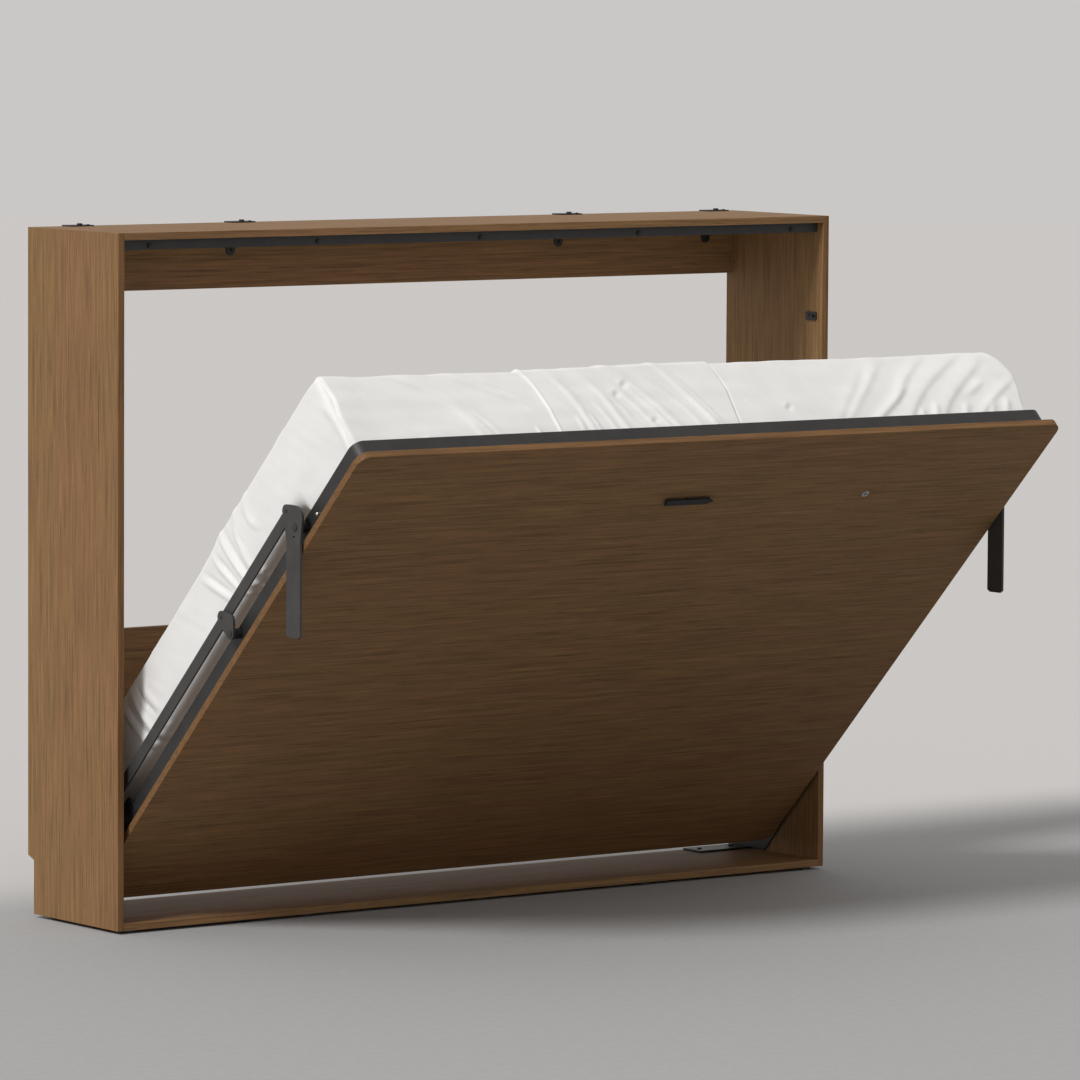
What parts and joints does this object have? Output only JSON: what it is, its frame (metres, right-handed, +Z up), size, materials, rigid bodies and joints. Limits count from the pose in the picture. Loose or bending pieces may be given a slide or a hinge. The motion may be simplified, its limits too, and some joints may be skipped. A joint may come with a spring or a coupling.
{
  "type": "murphy wall bed",
  "caption": "Horizontal wall bed that folds out of a shallow walnut cabinet on a steel frame with parallel-link legs, a mattress and a turn-handle latch.",
  "frame": {"origin": "under the middle rear glide: mid-width of the cabinet, at floor level, 81 mm in front of the cabinet's back plane", "axes": "+X runs along the cabinet to the right as seen from the room, +Y points to the wall, +Z is up"},
  "size_m": [2.212, 1.3977, 1.7275],
  "materials": {
    "arm_steel": "satin",
    "black_steel": "satin",
    "bright_steel": "satin",
    "buffer_rubber": "matte",
    "bush_brass": "satin",
    "dowel_wood": "matte",
    "frame_steel": "satin",
    "glide_plastic": "matte",
    "handle_steel": "satin",
    "mattress_fabric": "matte",
    "slat_wood": "satin",
    "spring_steel": "satin",
    "walnut_board": "satin",
    "walnut_front": "satin",
    "walnut_side": "satin"
  },
  "bodies": {
    "cabinet": {"left_side_panel": "walnut_side", "right_side_panel": "walnut_side", "top_panel": "walnut_board", "bottom_panel": "walnut_board", "rear_top_board": "walnut_board", "rear_lower_board": "walnut_board", "assembly_dowels": "dowel_wood", "stop_rail": "frame_steel", "stop_rail_screws": "black_steel", "stop_buffers": "buffer_rubber", "wall_brackets": "black_steel", "wall_bracket_screws": "black_steel", "wall_anchor_ferrules": "black_steel", "floor_glides": "glide_plastic", "left_hinge_bracket": "black_steel", "right_hinge_bracket": "black_steel", "left_counterbalance_spring": "spring_steel", "right_counterbalance_spring": "spring_steel", "hinge_bushes": "bush_brass", "link_anchor_pins": "bright_steel", "hinge_bracket_bolts": "black_steel", "strike_plates": "black_steel", "strike_screws": "black_steel"},
    "bed": {"front_panel": "walnut_front", "frame_top_rail": "frame_steel", "frame_bottom_rail": "frame_steel", "frame_left_rail": "frame_steel", "frame_right_rail": "frame_steel", "frame_centre_rail": "frame_steel", "slat_ledges": "frame_steel", "slats": "slat_wood", "frame_tabs": "frame_steel", "frame_tab_screws": "bright_steel", "mattress": "mattress_fabric", "hinge_plates": "frame_steel", "pivot_shafts": "bright_steel", "arm_standoffs": "frame_steel", "latch_gearbox": "black_steel", "latch_rod_guides": "glide_plastic", "lock_barrel": "bright_steel"},
    "handle": {"turn_handle": "handle_steel", "handle_pinion": "bright_steel"},
    "lock": {"lock_plug": "spring_steel"},
    "left_leg": {"left_leg": "arm_steel", "left_leg_foot": "glide_plastic", "left_leg_link_pin": "black_steel"},
    "left_rocker": {"left_rocker": "arm_steel", "left_rocker_link_pin": "black_steel"},
    "left_link": {"left_link_bar": "arm_steel"},
    "left_latch": {"left_latch_rod": "bright_steel"},
    "right_leg": {"right_leg": "arm_steel", "right_leg_foot": "glide_plastic", "right_leg_link_pin": "black_steel"},
    "right_rocker": {"right_rocker": "arm_steel", "right_rocker_link_pin": "black_steel"},
    "right_link": {"right_link_bar": "arm_steel"},
    "right_latch": {"right_latch_rod": "bright_steel"}
  },
  "joints": [
    {"name": "bed_tilt", "type": "hinge", "parent": "cabinet", "child": "bed", "pos_m": [0, -0.266, 0.2718], "axis": [1, 0, 0], "range_deg": [-44.9, 45.1], "stiffness_Nm_per_rad": 500, "springref_deg": -44.9, "deforming": ["left_counterbalance_spring", "right_counterbalance_spring"]},
    {"name": "left_leg_turn", "type": "hinge", "parent": "bed", "child": "left_leg", "pos_m": [-1.08, -1.05596, 1.05319], "axis": [1, 0, 0], "range_deg": [-45.1, 44.9]},
    {"name": "left_rocker_turn", "type": "hinge", "parent": "bed", "child": "left_rocker", "pos_m": [-1.08, -0.78229, 0.77857], "axis": [1, 0, 0], "range_deg": [-45.1, 44.9]},
    {"name": "left_link_tilt", "type": "hinge", "parent": "cabinet", "child": "left_link", "pos_m": [-1.0705, -0.2296, 0.3082], "axis": [1, 0, 0], "range_deg": [-44.9, 45.1]},
    {"name": "right_leg_turn", "type": "hinge", "parent": "bed", "child": "right_leg", "pos_m": [1.08, -1.05596, 1.05319], "axis": [1, 0, 0], "range_deg": [-45.1, 44.9]},
    {"name": "right_rocker_turn", "type": "hinge", "parent": "bed", "child": "right_rocker", "pos_m": [1.08, -0.78229, 0.77857], "axis": [1, 0, 0], "range_deg": [-45.1, 44.9]},
    {"name": "right_link_tilt", "type": "hinge", "parent": "cabinet", "child": "right_link", "pos_m": [1.0705, -0.2296, 0.3082], "axis": [1, 0, 0], "range_deg": [-44.9, 45.1]},
    {"name": "handle_turn", "type": "hinge", "parent": "bed", "child": "handle", "pos_m": [0, -1.14824, 1.09337], "axis": [0, -0.7083, -0.7059], "range_deg": [0, 90]},
    {"name": "left_latch_slide", "type": "slide", "parent": "bed", "child": "left_latch", "axis": [-1, 0, 0], "range_m": [0, 0.0236]},
    {"name": "right_latch_slide", "type": "slide", "parent": "bed", "child": "right_latch", "axis": [1, 0, 0], "range_m": [0, 0.0236]},
    {"name": "lock_turn", "type": "hinge", "parent": "bed", "child": "lock", "pos_m": [0.569, -1.13821, 1.08331], "axis": [0, -0.7083, -0.7059], "range_deg": [0, 90]}
  ],
  "couplings": [
    {"joint": "left_leg_turn", "follows": "bed_tilt", "ratio": -1},
    {"joint": "left_rocker_turn", "follows": "bed_tilt", "ratio": -1},
    {"joint": "left_link_tilt", "follows": "bed_tilt", "ratio": 1},
    {"joint": "right_leg_turn", "follows": "bed_tilt", "ratio": -1},
    {"joint": "right_rocker_turn", "follows": "bed_tilt", "ratio": -1},
    {"joint": "right_link_tilt", "follows": "bed_tilt", "ratio": 1},
    {"joint": "left_latch_slide", "follows": "handle_turn", "m_per_rad": 0.015},
    {"joint": "right_latch_slide", "follows": "handle_turn", "m_per_rad": 0.015}
  ]
}
